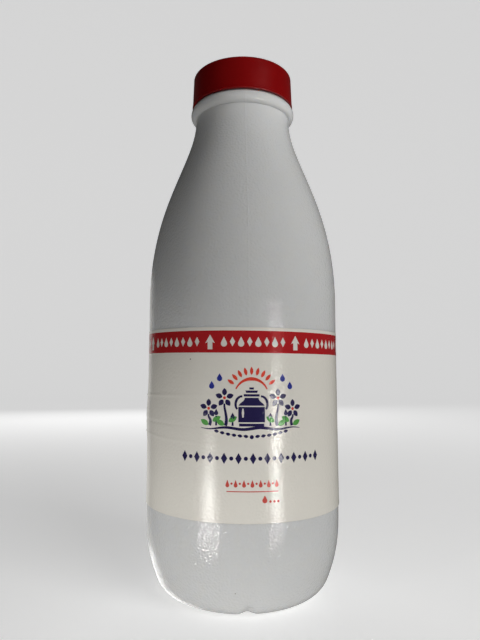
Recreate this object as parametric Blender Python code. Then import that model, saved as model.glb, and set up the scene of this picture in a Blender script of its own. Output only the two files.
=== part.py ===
"""One-litre milk bottle of blow-moulded plastic, shut, with its screw cap and printed sleeve.

The bottle stands on its foot with the origin at the middle of the foot and +Z up its axis.
The printed front of the sleeve and the front parting line of the mould face -Y.
Every length is in metres. The bottle is shut and can't be seen into, so its solid is full.
"""

import math

import bmesh
import bpy
from mathutils import Vector

MM = 0.001

# Turning
SEGMENTS = 72
MERGE_DISTANCE = 1e-6
SHARP_ANGLE = math.radians(32)

# Foot: a push-up in the middle, a flat standing ring and a heel of two arcs
PUSH_UP_HEIGHT = 5.5 * MM
RING_INNER_RADIUS = 25.0 * MM
RING_OUTER_RADIUS = 28.5 * MM
HEEL_RADIUS = 10.4 * MM
FLANK_RADIUS = 64.0 * MM
FLANK_ANGLE = math.radians(22.8)

# Pinch-off groove that the mould leaves across the foot, in the parting plane
PARTING_TURN = math.radians(3)
GROOVE_DEPTH = 1.1 * MM
GROOVE_CUTTER_RADIUS = 6.6 * MM
GROOVE_FADE = 1.5 * MM
GROOVE_END_ANGLE = math.radians(58)

# Body and the shallow panel that the sleeve sits in
BODY_LOW_RADIUS = 43.2 * MM
BODY_HIGH_RADIUS = 42.97 * MM
PANEL_LOW_RADIUS = 42.8 * MM
PANEL_HIGH_RADIUS = 42.4 * MM
PANEL_BOTTOM = 37.2 * MM
PANEL_TOP = 114.6 * MM
PANEL_STEP = 0.5 * MM

# Shoulder: one curve from the body to the neck, upright at both ends
SHOULDER_BOTTOM = 127.1 * MM
SHOULDER_PULL = 46.5 * MM
NECK_RADIUS = 22.15 * MM
NECK_PULL = 20.3 * MM

# Collar under the cap, and the plain finish that the cap covers
COLLAR_MIDDLE = 217.6 * MM
COLLAR_CORE_RADIUS = 22.0 * MM
COLLAR_RADIUS = 24.56 * MM
COLLAR_DROP = 4.2 * MM
COLLAR_RISE = 3.0 * MM
FINISH_TOP = 234.1 * MM
FINISH_BEVEL = 0.8 * MM

# Cap: a shell with a drafted skirt and a small lip at its rim
CAP_BOTTOM = 220.9 * MM
CAP_TOP = 235.9 * MM
CAP_LOW_RADIUS = 23.85 * MM
CAP_HIGH_RADIUS = 23.35 * MM
CAP_LIP = 0.15 * MM
CAP_LIP_HEIGHT = 1.0 * MM
CAP_EDGE_RADIUS = 1.0 * MM
CAP_PLATE = 1.5 * MM
CAP_CLEARANCE = 0.3 * MM
CAP_INNER_LOW_RADIUS = 22.75 * MM
CAP_PANEL_RADIUS = 18.5 * MM
CAP_PANEL_DEPTH = 0.4 * MM

# Sleeve: a thin printed tube that hangs slightly lower on its right side
SLEEVE_BOTTOM = 38.3 * MM
SLEEVE_TOP = 113.4 * MM
SLEEVE_GAP = 0.3 * MM
SLEEVE_THICKNESS = 0.3 * MM
SLEEVE_SKEW = 0.4 * MM


def clear_scene():
    """Remove what a new file starts with."""
    for thing in list(bpy.data.objects):
        bpy.data.objects.remove(thing, do_unlink=True)


def plastic(name, colour, roughness):
    """Return a plain material of one colour."""
    material = bpy.data.materials.new(name)
    material.use_nodes = True
    shader = material.node_tree.nodes["Principled BSDF"]
    shader.inputs["Base Color"].default_value = (*colour, 1.0)
    shader.inputs["Roughness"].default_value = roughness
    shader.inputs["Metallic"].default_value = 0.0
    return material


def arc(centre, radii, start, end, steps):
    """Return points (radius, height) along part of an ellipse, both ends included."""
    points = []
    for step in range(steps + 1):
        angle = start + (end - start) * step / steps
        points.append((centre[0] + radii[0] * math.cos(angle),
                       centre[1] + radii[1] * math.sin(angle)))
    return points


def bezier(ends, pulls, steps):
    """Return points of a cubic curve between two ends, through its two handles."""
    points = []
    for step in range(steps + 1):
        t = step / steps
        weights = ((1 - t) ** 3, 3 * t * (1 - t) ** 2, 3 * t * t * (1 - t), t ** 3)
        corners = (ends[0], pulls[0], pulls[1], ends[1])
        points.append(tuple(sum(w * c[axis] for w, c in zip(weights, corners)) for axis in (0, 1)))
    return points


def turned(name, profile, material, closed=False):
    """Spin a profile of (radius, height) points about +Z into one closed solid."""
    mesh = bpy.data.meshes.new(name)
    shape = bmesh.new()
    verts = [shape.verts.new((radius, 0.0, height)) for radius, height in profile]
    edges = [shape.edges.new(pair) for pair in zip(verts, verts[1:])]
    if closed:
        edges.append(shape.edges.new((verts[-1], verts[0])))
    bmesh.ops.spin(shape, geom=verts + edges, cent=(0, 0, 0), axis=(0, 0, 1),
                   angle=math.tau, steps=SEGMENTS, use_merge=True)
    bmesh.ops.remove_doubles(shape, verts=shape.verts, dist=MERGE_DISTANCE)
    bmesh.ops.recalc_face_normals(shape, faces=shape.faces)
    shape.to_mesh(mesh)
    shape.free()
    mesh.materials.append(material)
    mesh.shade_smooth()
    mesh.set_sharp_from_angle(angle=SHARP_ANGLE)
    thing = bpy.data.objects.new(name, mesh)
    bpy.context.scene.collection.objects.link(thing)
    return thing


def foot_profile():
    """Return the foot from the axis outwards: push-up, standing ring, heel and flank."""
    points = []
    push_up_steps = 5
    for step in range(push_up_steps):
        share = step / push_up_steps
        height = PUSH_UP_HEIGHT * (1 + math.cos(math.pi * share)) / 2
        points.append((RING_INNER_RADIUS * share, height))
    points.append((RING_INNER_RADIUS, 0.0))
    heel = arc((RING_OUTER_RADIUS, HEEL_RADIUS), (HEEL_RADIUS, HEEL_RADIUS),
               -math.pi / 2, -FLANK_ANGLE, 6)
    points += heel
    joint_radius, joint_height = heel[-1]
    flank_centre = (joint_radius - FLANK_RADIUS * math.cos(FLANK_ANGLE),
                    joint_height + FLANK_RADIUS * math.sin(FLANK_ANGLE))
    points += arc(flank_centre, (FLANK_RADIUS, FLANK_RADIUS), -FLANK_ANGLE, 0, 4)[1:]
    return points


def collar_profile():
    """Return the collar from the crease under it, over its rim, to the finish."""
    width = COLLAR_RADIUS - COLLAR_CORE_RADIUS
    crease_angle = -math.acos((NECK_RADIUS - COLLAR_CORE_RADIUS) / width)
    under = arc((COLLAR_CORE_RADIUS, COLLAR_MIDDLE), (width, COLLAR_DROP), crease_angle, 0, 5)
    over = arc((COLLAR_CORE_RADIUS, COLLAR_MIDDLE), (width, COLLAR_RISE), 0, math.pi / 2, 5)
    return under + over[1:]


def bottle_profile():
    """Return the whole bottle from the middle of the foot to the middle of the shut mouth."""
    points = foot_profile()
    points += [(BODY_LOW_RADIUS, PANEL_BOTTOM - PANEL_STEP),
               (PANEL_LOW_RADIUS, PANEL_BOTTOM),
               (PANEL_HIGH_RADIUS, PANEL_TOP),
               (BODY_HIGH_RADIUS, PANEL_TOP + PANEL_STEP)]
    collar = collar_profile()
    crease_radius, crease_height = collar[0]
    points += bezier(((BODY_HIGH_RADIUS, SHOULDER_BOTTOM), (crease_radius, crease_height)),
                     ((BODY_HIGH_RADIUS, SHOULDER_BOTTOM + SHOULDER_PULL),
                      (crease_radius, crease_height - NECK_PULL)), 14)
    points += collar[1:]
    points += [(COLLAR_CORE_RADIUS, FINISH_TOP - FINISH_BEVEL),
               (COLLAR_CORE_RADIUS - FINISH_BEVEL, FINISH_TOP),
               (0.0, FINISH_TOP)]
    return points


def groove_path():
    """Return the cutter's line in the parting plane: up one heel, under the foot, up the other."""
    steps = 10
    reach = HEEL_RADIUS + GROOVE_CUTTER_RADIUS - GROOVE_DEPTH
    side = []
    for step in range(steps + 1):
        share = step / steps
        angle = share * GROOVE_END_ANGLE
        distance = reach + GROOVE_FADE * share * share
        side.append((RING_OUTER_RADIUS + distance * math.sin(angle),
                     HEEL_RADIUS - distance * math.cos(angle)))
    front = [(-along, height) for along, height in reversed(side)]
    return front + side


def groove_cutter():
    """Return the round rod that cuts the pinch-off groove."""
    sides = 32
    path = groove_path()
    shape = bmesh.new()
    rings = []
    for index, (along, height) in enumerate(path):
        before = path[max(index - 1, 0)]
        after = path[min(index + 1, len(path) - 1)]
        forward = Vector((0, after[0] - before[0], after[1] - before[1])).normalized()
        upward = Vector((1, 0, 0)).cross(forward)
        ring = []
        for side in range(sides):
            angle = math.tau * side / sides
            offset = Vector((math.cos(angle), 0, 0)) + upward * math.sin(angle)
            ring.append(shape.verts.new(Vector((0, along, height)) + offset * GROOVE_CUTTER_RADIUS))
        rings.append(ring)
    for ring, following in zip(rings, rings[1:]):
        for side in range(sides):
            beside = (side + 1) % sides
            shape.faces.new((ring[side], ring[beside], following[beside], following[side]))
    shape.faces.new(rings[0])
    shape.faces.new(rings[-1])
    bmesh.ops.recalc_face_normals(shape, faces=shape.faces)
    mesh = bpy.data.meshes.new("groove_cutter")
    shape.to_mesh(mesh)
    shape.free()
    cutter = bpy.data.objects.new("groove_cutter", mesh)
    bpy.context.scene.collection.objects.link(cutter)
    cutter.rotation_euler.z = PARTING_TURN
    cutter.hide_render = True
    cutter.display_type = "WIRE"
    return cutter


def make_bottle():
    """Build the bottle and cut the pinch-off groove into its foot."""
    bottle = turned("bottle", bottle_profile(), plastic("milky_plastic", (0.74, 0.75, 0.76), 0.42))
    groove = bottle.modifiers.new("pinch_off", "BOOLEAN")
    groove.operation = "DIFFERENCE"
    groove.solver = "EXACT"
    groove.object = groove_cutter()
    return bottle


def make_cap():
    """Build the screw cap, a shell that clears the finish all round."""
    inner_top = CAP_TOP - CAP_PLATE
    inner_high_radius = COLLAR_CORE_RADIUS + CAP_CLEARANCE
    skirt_top = CAP_TOP - CAP_EDGE_RADIUS
    edge = arc((CAP_HIGH_RADIUS - CAP_EDGE_RADIUS, skirt_top), (CAP_EDGE_RADIUS, CAP_EDGE_RADIUS),
               math.pi / 2, 0, 4)
    profile = [(0.0, CAP_TOP - CAP_PANEL_DEPTH),
               (CAP_PANEL_RADIUS - CAP_PANEL_DEPTH, CAP_TOP - CAP_PANEL_DEPTH),
               (CAP_PANEL_RADIUS, CAP_TOP)]
    profile += edge
    profile += [(CAP_LOW_RADIUS, CAP_BOTTOM + CAP_LIP_HEIGHT + CAP_LIP),
                (CAP_LOW_RADIUS + CAP_LIP, CAP_BOTTOM + CAP_LIP_HEIGHT),
                (CAP_LOW_RADIUS + CAP_LIP, CAP_BOTTOM + CAP_LIP),
                (CAP_LOW_RADIUS, CAP_BOTTOM),
                (CAP_INNER_LOW_RADIUS, CAP_BOTTOM),
                (inner_high_radius, inner_top),
                (0.0, inner_top)]
    return turned("cap", profile, plastic("red_plastic", (0.42, 0.006, 0.012), 0.4))


def make_sleeve():
    """Build the printed sleeve, open at both ends, with its slight skew."""
    low = PANEL_LOW_RADIUS + SLEEVE_GAP
    high = PANEL_HIGH_RADIUS + SLEEVE_GAP
    profile = [(low + SLEEVE_THICKNESS, SLEEVE_BOTTOM), (low, SLEEVE_BOTTOM),
               (high, SLEEVE_TOP), (high + SLEEVE_THICKNESS, SLEEVE_TOP)]
    sleeve = turned("label", profile, plastic("printed_film", (0.72, 0.70, 0.66), 0.3), closed=True)
    for vert in sleeve.data.vertices:
        vert.co.z -= SLEEVE_SKEW * vert.co.x / low
    return sleeve


clear_scene()
make_bottle()
make_cap()
make_sleeve()
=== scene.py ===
"""Looks of a shut one-litre milk bottle: milky plastic, red screw cap and printed sleeve.

The bottle stands on its foot, +Z up, with the printed front towards -Y. Lengths are in metres,
or in millimetres where a docstring says so. Three turned pieces replace the frame's solids and
carry the fine surface, and the print lies on the sleeve as thin skins of ink.
"""

import logging
import math
from collections.abc import Callable, Sequence
from dataclasses import dataclass
from enum import Enum

import bmesh
import bpy
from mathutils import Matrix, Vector


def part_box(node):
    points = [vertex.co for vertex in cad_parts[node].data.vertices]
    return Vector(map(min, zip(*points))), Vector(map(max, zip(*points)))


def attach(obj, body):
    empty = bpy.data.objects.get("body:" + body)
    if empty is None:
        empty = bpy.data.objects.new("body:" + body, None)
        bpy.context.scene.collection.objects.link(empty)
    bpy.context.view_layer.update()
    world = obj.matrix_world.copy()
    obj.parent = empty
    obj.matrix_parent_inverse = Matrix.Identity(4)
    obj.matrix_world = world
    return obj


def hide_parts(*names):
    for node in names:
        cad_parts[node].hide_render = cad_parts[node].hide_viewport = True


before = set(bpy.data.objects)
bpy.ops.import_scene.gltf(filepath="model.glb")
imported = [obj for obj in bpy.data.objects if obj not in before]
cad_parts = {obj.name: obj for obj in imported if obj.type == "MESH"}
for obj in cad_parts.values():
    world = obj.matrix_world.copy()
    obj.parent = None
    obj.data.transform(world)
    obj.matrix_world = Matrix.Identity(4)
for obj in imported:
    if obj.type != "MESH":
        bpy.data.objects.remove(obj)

LOG = logging.getLogger("milk_bottle")
MM = 0.001
BODY = "root"
MERGE_DISTANCE = 1e-6
CUT_TOLERANCE = 1e-7

Point = tuple[float, float]
Point3 = tuple[float, float, float]
Colour = tuple[float, float, float]
Outline = list[Point]
Socket = bpy.types.NodeSocket
Value = float | int | tuple | Socket


class Slot(Enum):
    """Material slots of the record."""

    BOTTLE = "milky_plastic"
    CAP = "red_plastic"
    SLEEVE = "printed_film"


class Graph:
    """Writes nodes into a tree and joins them."""

    def __init__(self, tree: bpy.types.NodeTree) -> None:
        """Keep the tree.

        Args:
            tree: the node tree to write into.
        """
        self.tree = tree

    def add(self, kind: str, inputs: dict[str | int, Value] | None = None,
            **settings: object) -> bpy.types.Node:
        """Add one node.

        Args:
            kind: the node's type name.
            inputs: values or sockets for its inputs, by name or number.
            **settings: properties of the node itself.

        Returns:
            The new node.
        """
        node = self.tree.nodes.new(kind)
        for name, setting in settings.items():
            setattr(node, name, setting)
        for name, value in (inputs or {}).items():
            self.feed(node.inputs[name], value)
        return node

    def feed(self, socket: Socket, value: Value) -> None:
        """Give an input its value, or link it.

        Args:
            socket: the input.
            value: a constant, or the output that feeds it.
        """
        if isinstance(value, Socket):
            self.tree.links.new(value, socket)
        else:
            socket.default_value = value

    def math(self, operation: str, *values: Value) -> Socket:
        """Return the result of a Math node on up to three values."""
        return self.add("ShaderNodeMath", dict(enumerate(values)), operation=operation).outputs[0]

    def vector(self, operation: str, *values: Value) -> Socket:
        """Return the vector result of a Vector Math node."""
        node = self.add("ShaderNodeVectorMath", dict(enumerate(values)), operation=operation)
        return node.outputs["Vector"]

    def scaled(self, vector: Value, factor: Value) -> Socket:
        """Return a vector times a number."""
        node = self.add("ShaderNodeVectorMath", {0: vector, "Scale": factor}, operation="SCALE")
        return node.outputs["Vector"]

    def join_axes(self, x: Value, y: Value, z: Value) -> Socket:
        """Return a vector made of three numbers."""
        return self.add("ShaderNodeCombineXYZ", {0: x, 1: y, 2: z}).outputs[0]

    def axes(self, vector: Value) -> list[Socket]:
        """Return a vector's three numbers."""
        return list(self.add("ShaderNodeSeparateXYZ", {0: vector}).outputs)

    def ramp(self, value: Value, low: Value, high: Value) -> Socket:
        """Work out a smooth step.

        Args:
            value: where the step is read.
            low: where it is 0.
            high: where it is 1, above low or below it.

        Returns:
            The step's height.
        """
        node = self.add("ShaderNodeMapRange", {"Value": value, "From Min": low, "From Max": high},
                        interpolation_type="SMOOTHSTEP")
        return node.outputs[0]

    def bell(self, value: Value, middle: Value, width: Value) -> Socket:
        """Work out a bell curve.

        Args:
            value: where the curve is read.
            middle: where it is 1.
            width: how far away it has fallen to 0.37.

        Returns:
            The curve's height.
        """
        offset = self.math("DIVIDE", self.math("SUBTRACT", value, middle), width)
        square = self.math("MULTIPLY", offset, offset)
        return self.math("EXPONENT", self.math("MULTIPLY", square, -1.0))

    def total(self, *values: Value) -> Socket:
        """Add up several numbers.

        Args:
            *values: the numbers.

        Returns:
            Their sum.
        """
        result = values[0]
        for value in values[1:]:
            result = self.math("ADD", result, value)
        return result

    def product(self, *values: Value) -> Socket:
        """Multiply several numbers.

        Args:
            *values: the numbers.

        Returns:
            Their product.
        """
        result = values[0]
        for value in values[1:]:
            result = self.math("MULTIPLY", result, value)
        return result

    def noise(self, vector: Value, scale: Value, detail: float = 2.0) -> Socket:
        """Read a noise pattern.

        Args:
            vector: where it is read.
            scale: its lumps per metre.
            detail: how many finer patterns lie on it.

        Returns:
            A value about 0.5.
        """
        node = self.add("ShaderNodeTexNoise",
                        {"Vector": vector, "Scale": scale, "Detail": detail, "Roughness": 0.5})
        return node.outputs[0]

    def merged(self, surface: Socket) -> Socket:
        """Return a surface with its doubled points joined."""
        return self.add("GeometryNodeMergeByDistance",
                        {0: surface, "Distance": MERGE_DISTANCE}).outputs[0]


class ShapeTree:
    """A Geometry Nodes tree with named inputs, which is applied to a piece as a plain mesh."""

    KINDS = {float: "NodeSocketFloat", int: "NodeSocketInt", "object": "NodeSocketObject",
             "material": "NodeSocketMaterial"}

    def __init__(self, name: str, inputs: dict[str, type | str],
                 write: Callable[[Graph, dict], Socket]) -> None:
        """Write the tree.

        Args:
            name: the tree's name.
            inputs: each named input and its kind.
            write: adds the nodes, given the graph and the inputs, and returns the geometry.
        """
        self.tree = bpy.data.node_groups.new(name, "GeometryNodeTree")
        self.tree.interface.new_socket("Geometry", in_out="INPUT", socket_type="NodeSocketGeometry")
        self.tree.interface.new_socket("Geometry", in_out="OUTPUT", socket_type="NodeSocketGeometry")
        self.identifiers = {}
        for label, kind in {**inputs, "Material": "material"}.items():
            socket = self.tree.interface.new_socket(label, in_out="INPUT",
                                                    socket_type=self.KINDS[kind])
            self.identifiers[label] = socket.identifier
        graph = Graph(self.tree)
        entry = graph.add("NodeGroupInput")
        given = {socket.name: socket for socket in entry.outputs if socket.name}
        shape = write(graph, given)
        whole = graph.add("GeometryNodeRealizeInstances", {0: shape}).outputs[0]
        painted = graph.add("GeometryNodeSetMaterial", {0: whole, "Material": given["Material"]})
        graph.add("NodeGroupOutput", {0: painted.outputs[0]})

    def apply(self, piece: bpy.types.Object, **values: object) -> None:
        """Run the tree on a piece and keep the result as its plain mesh.

        Args:
            piece: the object that the tree works on.
            **values: a value for each named input, with _ for a space in its name.
        """
        modifier = piece.modifiers.new(self.tree.name, "NODES")
        modifier.node_group = self.tree
        for label, value in values.items():
            modifier[self.identifiers[label.replace("_", " ")]] = value
        depsgraph = bpy.context.evaluated_depsgraph_get()
        result = bpy.data.meshes.new_from_object(piece.evaluated_get(depsgraph), depsgraph=depsgraph)
        piece.modifiers.clear()
        piece.data = result
        result.name = piece.name


def write_turned_shell(graph: Graph, given: dict) -> Socket:
    """Turn the profile's points about +Z, with columns crowded at the front and the back.

    Args:
        graph: the tree to write into.
        given: its inputs.

    Returns:
        The turned surface.
    """
    rows = graph.add("GeometryNodeAttributeDomainSize", {0: given["Geometry"]}).outputs[0]
    across = graph.math("ADD", given["Columns"], 1.0)
    grid = graph.add("GeometryNodeMeshGrid", {"Vertices X": rows, "Vertices Y": across}).outputs[0]
    index = graph.add("GeometryNodeInputIndex").outputs[0]
    row = graph.math("FLOOR", graph.math("DIVIDE", index, across))
    column = graph.math("SUBTRACT", index, graph.product(row, across))
    place = graph.add("GeometryNodeInputPosition").outputs[0]
    sample = graph.add("GeometryNodeSampleIndex",
                       {"Geometry": given["Geometry"], 1: place, "Index": row},
                       data_type="FLOAT_VECTOR", domain="POINT").outputs[0]
    radius, _, height = graph.axes(sample)
    even = graph.math("DIVIDE", graph.product(column, math.tau), given["Columns"])
    crowd = graph.product(given["Crowding"], graph.math("SINE", graph.product(even, 2.0)), 0.5)
    angle = graph.math("ADD", graph.math("SUBTRACT", even, crowd), given["Turn"])
    position = graph.join_axes(graph.product(radius, graph.math("SINE", angle)),
                               graph.product(radius, graph.math("COSINE", angle), -1.0), height)
    placed = graph.add("GeometryNodeSetPosition", {0: grid, "Position": position}).outputs[0]
    return graph.merged(placed)


def write_mould_marks(graph: Graph, given: dict) -> Socket:
    """Raise the parting line, sink the pinch-off groove and make the blown wall uneven.

    Args:
        graph: the tree to write into.
        given: its inputs.

    Returns:
        The marked surface.
    """
    place = graph.add("GeometryNodeInputPosition").outputs[0]
    normal = graph.add("GeometryNodeInputNormal").outputs[0]
    turned = graph.add("ShaderNodeVectorRotate",
                       {"Vector": place, "Angle": graph.product(given["Turn"], -1.0)},
                       rotation_type="Z_AXIS").outputs[0]
    aside, _, height = graph.axes(turned)
    x, y, _ = graph.axes(place)
    radius = graph.math("SQRT", graph.total(graph.product(x, x), graph.product(y, y)))
    ridge = graph.product(graph.bell(aside, 0.0, given["Ridge Width"]), given["Ridge Height"])
    groove_full = graph.product(given["Groove Top"], 0.35)
    low = graph.ramp(height, given["Groove Top"], groove_full)
    groove_start = graph.product(given["Ring Radius"], 0.8)
    outside = graph.ramp(radius, groove_start, given["Ring Radius"])
    valley = graph.product(graph.bell(aside, 0.0, given["Groove Width"]), given["Groove Depth"],
                           low, outside)
    wobble = graph.math("SUBTRACT", graph.noise(place, given["Wave Scale"], 1.0), 0.5)
    clear_of_foot = graph.ramp(height, 2 * MM, 12 * MM)
    wave = graph.product(wobble, given["Wave Height"], clear_of_foot)
    shift = graph.math("SUBTRACT", graph.math("ADD", ridge, wave), valley)
    moved = graph.add("GeometryNodeSetPosition",
                      {0: given["Geometry"], "Offset": graph.scaled(normal, shift)})
    return moved.outputs[0]


def write_sleeve_relief(graph: Graph, given: dict) -> Socket:
    """Give the sleeve its skew, slack bulge, creases, waves, raised edges and overlap.

    A crease lies some way from the middle of the slack, counted in the slack's reaches, and has a
    share of the full depth, below 0 for a fold that goes inwards.

    Args:
        graph: the tree to write into.
        given: its inputs.

    Returns:
        The sleeve's surface.
    """
    place = graph.add("GeometryNodeInputPosition").outputs[0]
    x, y, height = graph.axes(place)
    azimuth = graph.math("ARCTAN2", x, graph.product(y, -1.0))
    outward = graph.vector("NORMALIZE", graph.join_axes(x, y, 0.0))
    side = graph.bell(azimuth, given["Slack Azimuth"], given["Slack Width"])
    crease_reach = graph.product(given["Slack Width"], 1.7)
    reach = graph.bell(azimuth, given["Slack Azimuth"], crease_reach)
    belly = graph.product(graph.bell(height, given["Slack Height"], given["Slack Reach"]), side,
                          given["Slack Depth"])
    fan = graph.product(graph.math("SUBTRACT", azimuth, given["Slack Azimuth"]), given["Crease Fan"])
    ways_and_shares = ((1.0, 1.0), (-0.75, 0.8), (-0.15, -0.7))
    crease = 0.0
    for way, share in ways_and_shares:
        middle = graph.total(given["Slack Height"], graph.product(given["Slack Reach"], way),
                             graph.product(fan, way))
        line = graph.product(graph.bell(height, middle, given["Crease Width"]), share)
        crease = graph.math("ADD", crease, line)
    crease = graph.product(crease, reach, given["Crease Depth"])
    wobble = graph.math("SUBTRACT", graph.noise(place, given["Wave Scale"], 2.0), 0.5)
    wave = graph.product(wobble, given["Wave Height"])
    ends = graph.math("ADD", graph.bell(height, given["Low Edge"], given["Edge Width"]),
                      graph.bell(height, given["High Edge"], given["Edge Width"]))
    lip = graph.product(ends, given["Edge Lift"], graph.math("ADD", wobble, 1.0))
    lap_full = graph.math("ADD", given["Lap Start"], 0.05)
    lap = graph.product(graph.ramp(azimuth, given["Lap Start"], lap_full),
                        graph.math("LESS_THAN", azimuth, given["Lap End"]), given["Lap Height"])
    shift = graph.total(belly, crease, wave, lip, lap)
    sink = graph.product(graph.math("SINE", azimuth), given["Skew"], -1.0)
    offset = graph.vector("ADD", graph.scaled(outward, shift), graph.join_axes(0.0, 0.0, sink))
    moved = graph.add("GeometryNodeSetPosition", {0: given["Geometry"], "Offset": offset})
    return moved.outputs[0]


def write_row_of_marks(graph: Graph, given: dict) -> Socket:
    """Repeat a flat mark along +X at an even pitch.

    Args:
        graph: the tree to write into.
        given: its inputs.

    Returns:
        The copies of the mark, as instances.
    """
    line = graph.add("GeometryNodeMeshLine",
                     {"Count": given["Count"],
                      "Start Location": graph.join_axes(given["First"], given["Height"], 0.0),
                      "Offset": graph.join_axes(given["Pitch"], 0.0, 0.0)}, mode="OFFSET")
    return graph.add("GeometryNodeInstanceOnPoints",
                     {"Points": line.outputs[0], "Instance": given["Geometry"]}).outputs[0]


def write_print_on_sleeve(graph: Graph, given: dict) -> Socket:
    """Wrap flat artwork round the sleeve, drop it on the surface and give the ink its thickness.

    Args:
        graph: the tree to write into.
        given: its inputs.

    Returns:
        The closed skin of ink.
    """
    clearance = 6 * MM
    along, height, _ = graph.axes(graph.add("GeometryNodeInputPosition").outputs[0])
    azimuth = graph.math("DIVIDE", along, given["Radius"])
    sine = graph.math("SINE", azimuth)
    cosine = graph.math("COSINE", azimuth)
    outward = graph.join_axes(sine, graph.product(cosine, -1.0), 0.0)
    level = graph.math("SUBTRACT", height, graph.product(sine, given["Skew"]))
    start_radius = graph.math("ADD", given["Radius"], clearance)
    start = graph.vector("ADD", graph.scaled(outward, start_radius),
                         graph.join_axes(0.0, 0.0, level))
    target = graph.add("GeometryNodeObjectInfo", {"Object": given["Sleeve"]},
                       transform_space="RELATIVE").outputs["Geometry"]
    hit = graph.add("GeometryNodeRaycast",
                    {"Target Geometry": target, "Source Position": start,
                     "Ray Direction": graph.scaled(outward, -1.0), "Ray Length": 2 * clearance})
    landed = graph.vector("ADD", hit.outputs["Hit Position"], graph.scaled(outward, given["Lift"]))
    wrapped = graph.add("GeometryNodeSetPosition",
                        {0: given["Geometry"], "Position": landed}).outputs[0]
    raised = graph.add("GeometryNodeExtrudeMesh",
                       {"Mesh": wrapped, "Offset Scale": given["Ink"], "Individual": False},
                       mode="FACES").outputs[0]
    under = graph.add("GeometryNodeFlipFaces", {0: wrapped}).outputs[0]
    both = graph.add("GeometryNodeJoinGeometry")
    graph.feed(both.inputs[0], under)
    graph.feed(both.inputs[0], raised)
    return graph.merged(both.outputs[0])


class Workshop:
    """The shape trees, written once and used by every piece."""

    def __init__(self) -> None:
        """Write the trees."""
        self.turned_shell = ShapeTree("turned_shell", {
            "Columns": int, "Crowding": float, "Turn": float}, write_turned_shell)
        self.mould_marks = ShapeTree("mould_marks", {
            "Turn": float, "Ridge Width": float, "Ridge Height": float, "Groove Width": float,
            "Groove Depth": float, "Groove Top": float, "Ring Radius": float,
            "Wave Scale": float, "Wave Height": float}, write_mould_marks)
        self.sleeve_relief = ShapeTree("sleeve_relief", {
            "Skew": float, "Slack Azimuth": float, "Slack Width": float, "Slack Height": float,
            "Slack Reach": float, "Slack Depth": float, "Crease Width": float,
            "Crease Depth": float, "Crease Fan": float, "Wave Scale": float, "Wave Height": float,
            "Low Edge": float, "High Edge": float, "Edge Width": float, "Edge Lift": float,
            "Lap Start": float, "Lap End": float, "Lap Height": float}, write_sleeve_relief)
        self.row_of_marks = ShapeTree("row_of_marks", {
            "Count": int, "Pitch": float, "First": float, "Height": float}, write_row_of_marks)
        self.print_on_sleeve = ShapeTree("print_on_sleeve", {
            "Sleeve": "object", "Radius": float, "Skew": float, "Lift": float, "Ink": float},
            write_print_on_sleeve)


def arc(centre: Point, radii: Point, start: float, end: float, steps: int) -> Outline:
    """Return points along part of an ellipse.

    Args:
        centre: the ellipse's middle.
        radii: its half width and half height.
        start: the first angle in degrees.
        end: the last angle in degrees.
        steps: the number of stretches between the points.

    Returns:
        The points, both ends included.
    """
    angles = [math.radians(start + (end - start) * step / steps) for step in range(steps + 1)]
    return [(centre[0] + radii[0] * math.cos(a), centre[1] + radii[1] * math.sin(a)) for a in angles]


def bezier(corners: Sequence[Point], steps: int) -> Outline:
    """Return points of a cubic curve.

    Args:
        corners: its two ends with its two handles between them.
        steps: the number of stretches between the points.

    Returns:
        The points, both ends included.
    """
    points = []
    for step in range(steps + 1):
        t = step / steps
        weights = ((1 - t) ** 3, 3 * t * (1 - t) ** 2, 3 * t * t * (1 - t), t ** 3)
        points.append(tuple(sum(w * c[axis] for w, c in zip(weights, corners)) for axis in (0, 1)))
    return points


def eased(start: Point, end: Point, steps: int) -> Outline:
    """Return points of a soft step that is upright at both its ends.

    Args:
        start: its first end.
        end: its last end.
        steps: the number of stretches between the points.

    Returns:
        The points, both ends included.
    """
    rise = end[1] - start[1]
    return bezier((start, (start[0], start[1] + 0.7 * rise), (end[0], start[1] + 0.3 * rise), end),
                  steps)


def line(start: Point, end: Point, steps: int) -> Outline:
    """Return evenly spaced points from start to end, both included."""
    return [(start[0] + (end[0] - start[0]) * s / steps, start[1] + (end[1] - start[1]) * s / steps)
            for s in range(steps + 1)]


def new_piece(name: str, mesh: bpy.types.Mesh) -> bpy.types.Object:
    """Put a new object in the scene.

    Args:
        name: the object's name.
        mesh: the mesh that it shows.

    Returns:
        The object.
    """
    piece = bpy.data.objects.new(name, mesh)
    bpy.context.scene.collection.objects.link(piece)
    return piece


def profile_piece(name: str, profile: Outline, closed: bool) -> bpy.types.Object:
    """Return an object whose mesh is a chain of profile points.

    Args:
        name: the piece's name.
        profile: points (radius, height) in order.
        closed: whether the first point follows the last again.

    Returns:
        The object, ready for the turning tree.
    """
    points = [(radius, 0.0, height) for radius, height in profile]
    if closed:
        points.append(points[0])
    mesh = bpy.data.meshes.new(name)
    mesh.from_pydata(points, [(i, i + 1) for i in range(len(points) - 1)], [])
    return new_piece(name, mesh)


def face_outwards(mesh: bpy.types.Mesh) -> None:
    """Turn a closed mesh the right way out if its volume is negative.

    Args:
        mesh: the mesh, changed in place.
    """
    shape = bmesh.new()
    shape.from_mesh(mesh)
    if shape.calc_volume(signed=True) < 0:
        bmesh.ops.reverse_faces(shape, faces=shape.faces)
    shape.to_mesh(mesh)
    shape.free()


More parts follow.
